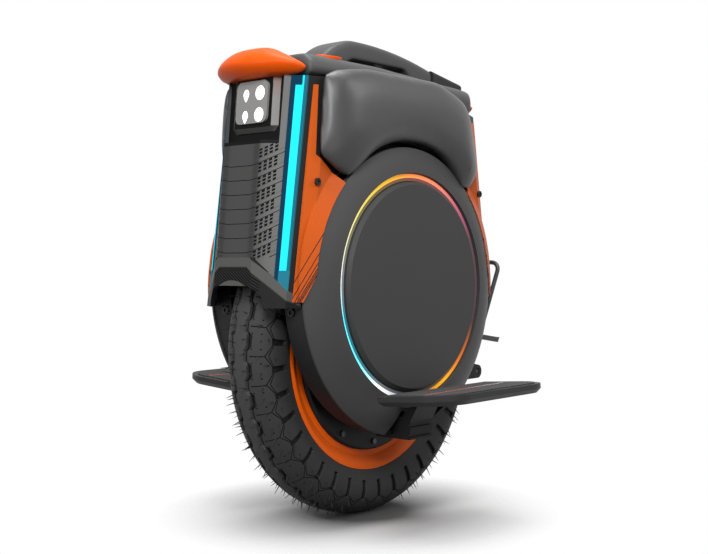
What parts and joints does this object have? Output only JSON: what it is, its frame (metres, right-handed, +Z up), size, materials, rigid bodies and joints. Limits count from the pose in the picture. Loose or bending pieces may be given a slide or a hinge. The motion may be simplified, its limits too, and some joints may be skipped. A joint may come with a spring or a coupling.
{
  "type": "electric unicycle",
  "caption": "Self-balancing electric unicycle: one hub-motor wheel between round side shells, folding pedals, leg pads, trolley grip, carry handle, headlight and light bars.",
  "frame": {"origin": "on the ground straight below the middle of the axle", "axes": "+X forward to the headlight, +Y to the rider's left along the axle, +Z up"},
  "size_m": [0.4747, 0.4368, 0.584],
  "materials": {
    "tyre": "matte",
    "rubber": "matte",
    "orange_paint": "satin",
    "orange_plastic": "gloss",
    "black_metal": "satin",
    "bare_steel": "brushed",
    "dark_steel": "satin",
    "copper": "satin",
    "aluminium": "matte",
    "grey_plastic": "satin",
    "dark_plastic": "matte",
    "fascia_plastic": "matte",
    "pad_leather": "grained",
    "light_diffuser": "gloss",
    "blue_light": "gloss",
    "lamp_white": "gloss",
    "lens_plate": "gloss",
    "red_light": "gloss",
    "board_green": "matte",
    "battery_wrap": "matte",
    "grip_sheet": "grained"
  },
  "bodies": {
    "chassis": {"corner_panels": "orange_plastic", "front_visor": "orange_plastic", "rear_visor": "orange_plastic", "handle_trim": "orange_plastic", "left_frame_drum": "black_metal", "right_frame_drum": "black_metal", "left_pedal_hanger": "black_metal", "right_pedal_hanger": "black_metal", "stand_brackets": "black_metal", "axle": "bare_steel", "pedal_pins": "bare_steel", "stator": "dark_steel", "body_screws": "dark_steel", "windings": "copper", "heat_sink": "aluminium", "trolley_guides": "aluminium", "left_side_shell": "grey_plastic", "right_side_shell": "grey_plastic", "left_disc_cover": "grey_plastic", "right_disc_cover": "grey_plastic", "top_deck": "grey_plastic", "carry_handle": "grey_plastic", "wheel_arch": "dark_plastic", "upper_housing": "dark_plastic", "headlight_bezel": "dark_plastic", "charge_port": "dark_plastic", "front_fascia": "fascia_plastic", "rear_fascia": "fascia_plastic", "front_chin": "fascia_plastic", "rear_chin": "fascia_plastic", "left_leg_pad": "pad_leather", "right_leg_pad": "pad_leather", "ring_lights": "light_diffuser", "front_light_bars": "blue_light", "rear_light_bars": "blue_light", "headlight_lamps": "lamp_white", "headlight_lens": "lens_plate", "tail_light": "red_light", "controller_board": "board_green", "battery_packs": "battery_wrap"},
    "wheel": {"tyre": "tyre", "inner_tube": "rubber", "rim": "orange_paint", "valve_stem": "dark_steel", "magnet_ring": "dark_steel", "motor_covers": "black_metal", "wheel_bearings": "bare_steel", "cover_screws": "dark_steel"},
    "left_pedal": {"left_pedal": "black_metal", "left_pedal_grip": "grip_sheet"},
    "right_pedal": {"right_pedal": "black_metal", "right_pedal_grip": "grip_sheet"},
    "kickstand": {"stand": "black_metal", "stand_foot": "rubber"},
    "trolley_mid": {"trolley_mid_tubes": "bare_steel"},
    "trolley_grip": {"trolley_rods": "bare_steel", "trolley_grip": "dark_plastic"},
    "power_button": {"power_button": "dark_plastic"},
    "lift_switch": {"lift_switch": "dark_plastic"},
    "charge_flap": {"charge_flap": "dark_plastic"}
  },
  "joints": [
    {"name": "wheel_spin", "type": "hinge", "parent": "chassis", "child": "wheel", "pos_m": [0, 0, 0.2075], "axis": [0, 1, 0], "continuous": true},
    {"name": "left_pedal_fold", "type": "hinge", "parent": "chassis", "child": "left_pedal", "pos_m": [0, 0.106, 0.15], "axis": [1, 0, 0], "range_deg": [0, 78]},
    {"name": "right_pedal_fold", "type": "hinge", "parent": "chassis", "child": "right_pedal", "pos_m": [0, -0.106, 0.15], "axis": [-1, 0, 0], "range_deg": [0, 78]},
    {"name": "stand_swing", "type": "hinge", "parent": "chassis", "child": "kickstand", "pos_m": [-0.176, 0, 0.166], "axis": [0, -1, 0], "range_deg": [0, 140]},
    {"name": "trolley_mid_slide", "type": "slide", "parent": "chassis", "child": "trolley_mid", "axis": [0, 0, 1], "range_m": [0, 0.085]},
    {"name": "trolley_grip_slide", "type": "slide", "parent": "trolley_mid", "child": "trolley_grip", "axis": [0, 0, 1], "range_m": [0, 0.085]},
    {"name": "power_button_press", "type": "slide", "parent": "chassis", "child": "power_button", "axis": [0, 0, -1], "range_m": [0, 0.002], "stiffness_N_per_m": 800, "springref_m": -0.001},
    {"name": "lift_switch_press", "type": "slide", "parent": "chassis", "child": "lift_switch", "axis": [0, 0, 1], "range_m": [0, 0.002], "stiffness_N_per_m": 800, "springref_m": -0.001},
    {"name": "charge_flap_swing", "type": "hinge", "parent": "chassis", "child": "charge_flap", "pos_m": [-0.21657, 0, 0.3713], "axis": [0, 1, 0], "range_deg": [0, 115]}
  ]
}
